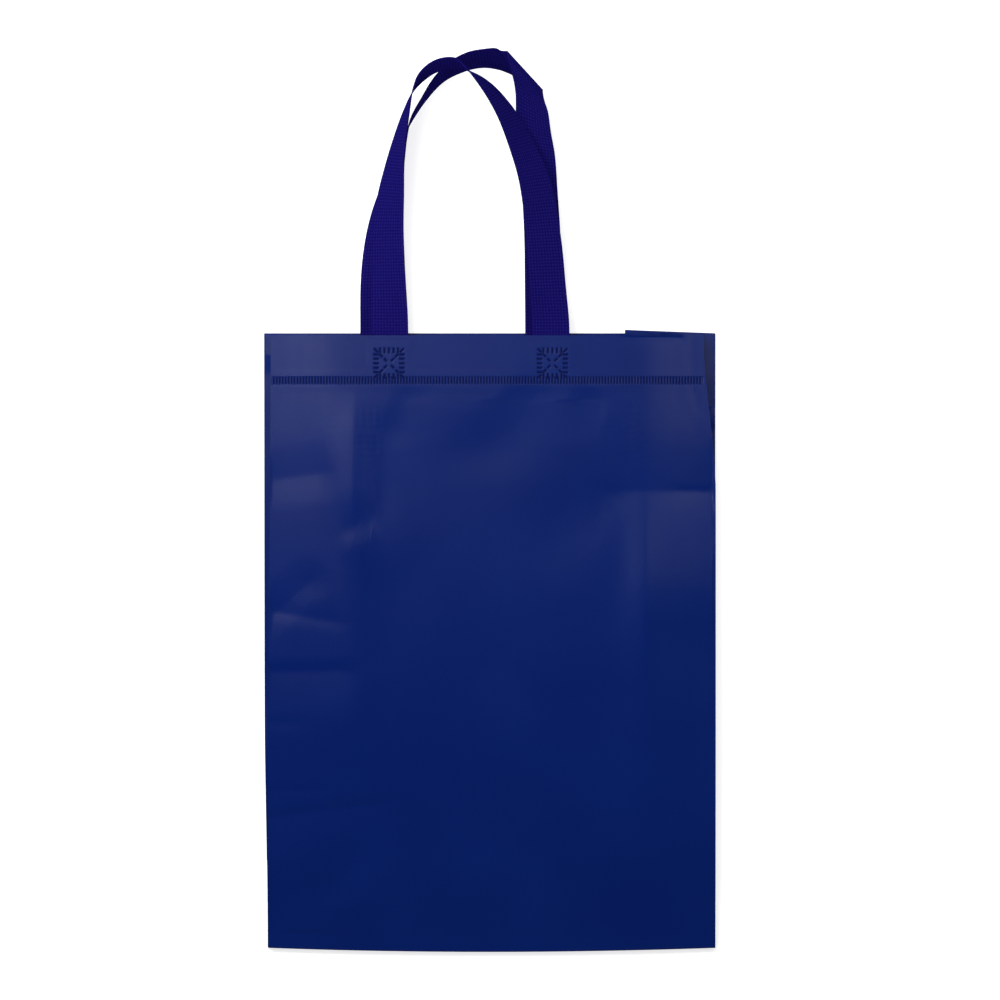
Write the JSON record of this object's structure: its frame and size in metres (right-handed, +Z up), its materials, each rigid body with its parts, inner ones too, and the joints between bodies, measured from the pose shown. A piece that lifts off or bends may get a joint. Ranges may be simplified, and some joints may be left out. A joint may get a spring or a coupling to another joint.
{
  "type": "laminated non-woven bag",
  "caption": "Flat-folded gusseted carrier bag of laminated non-woven sheet, lying on its back, with a turned-in hem and welded strap handles.",
  "frame": {"origin": "on the floor under the middle of the laid-out bag and its handles", "axes": "+X across the bag to the right as its front is seen, +Y from the base to the mouth and the handles, +Z up out of the front"},
  "size_m": [0.3024, 0.6041, 0.054],
  "materials": {
    "laminate": "satin navy film over a fine non-woven emboss",
    "strap": "point-bonded non-woven, deep blue, matte with a slight sheen"
  },
  "bodies": {
    "root": {"bag_body": "laminate", "front_handle": "strap", "rear_handle": "strap"}
  },
  "joints": []
}
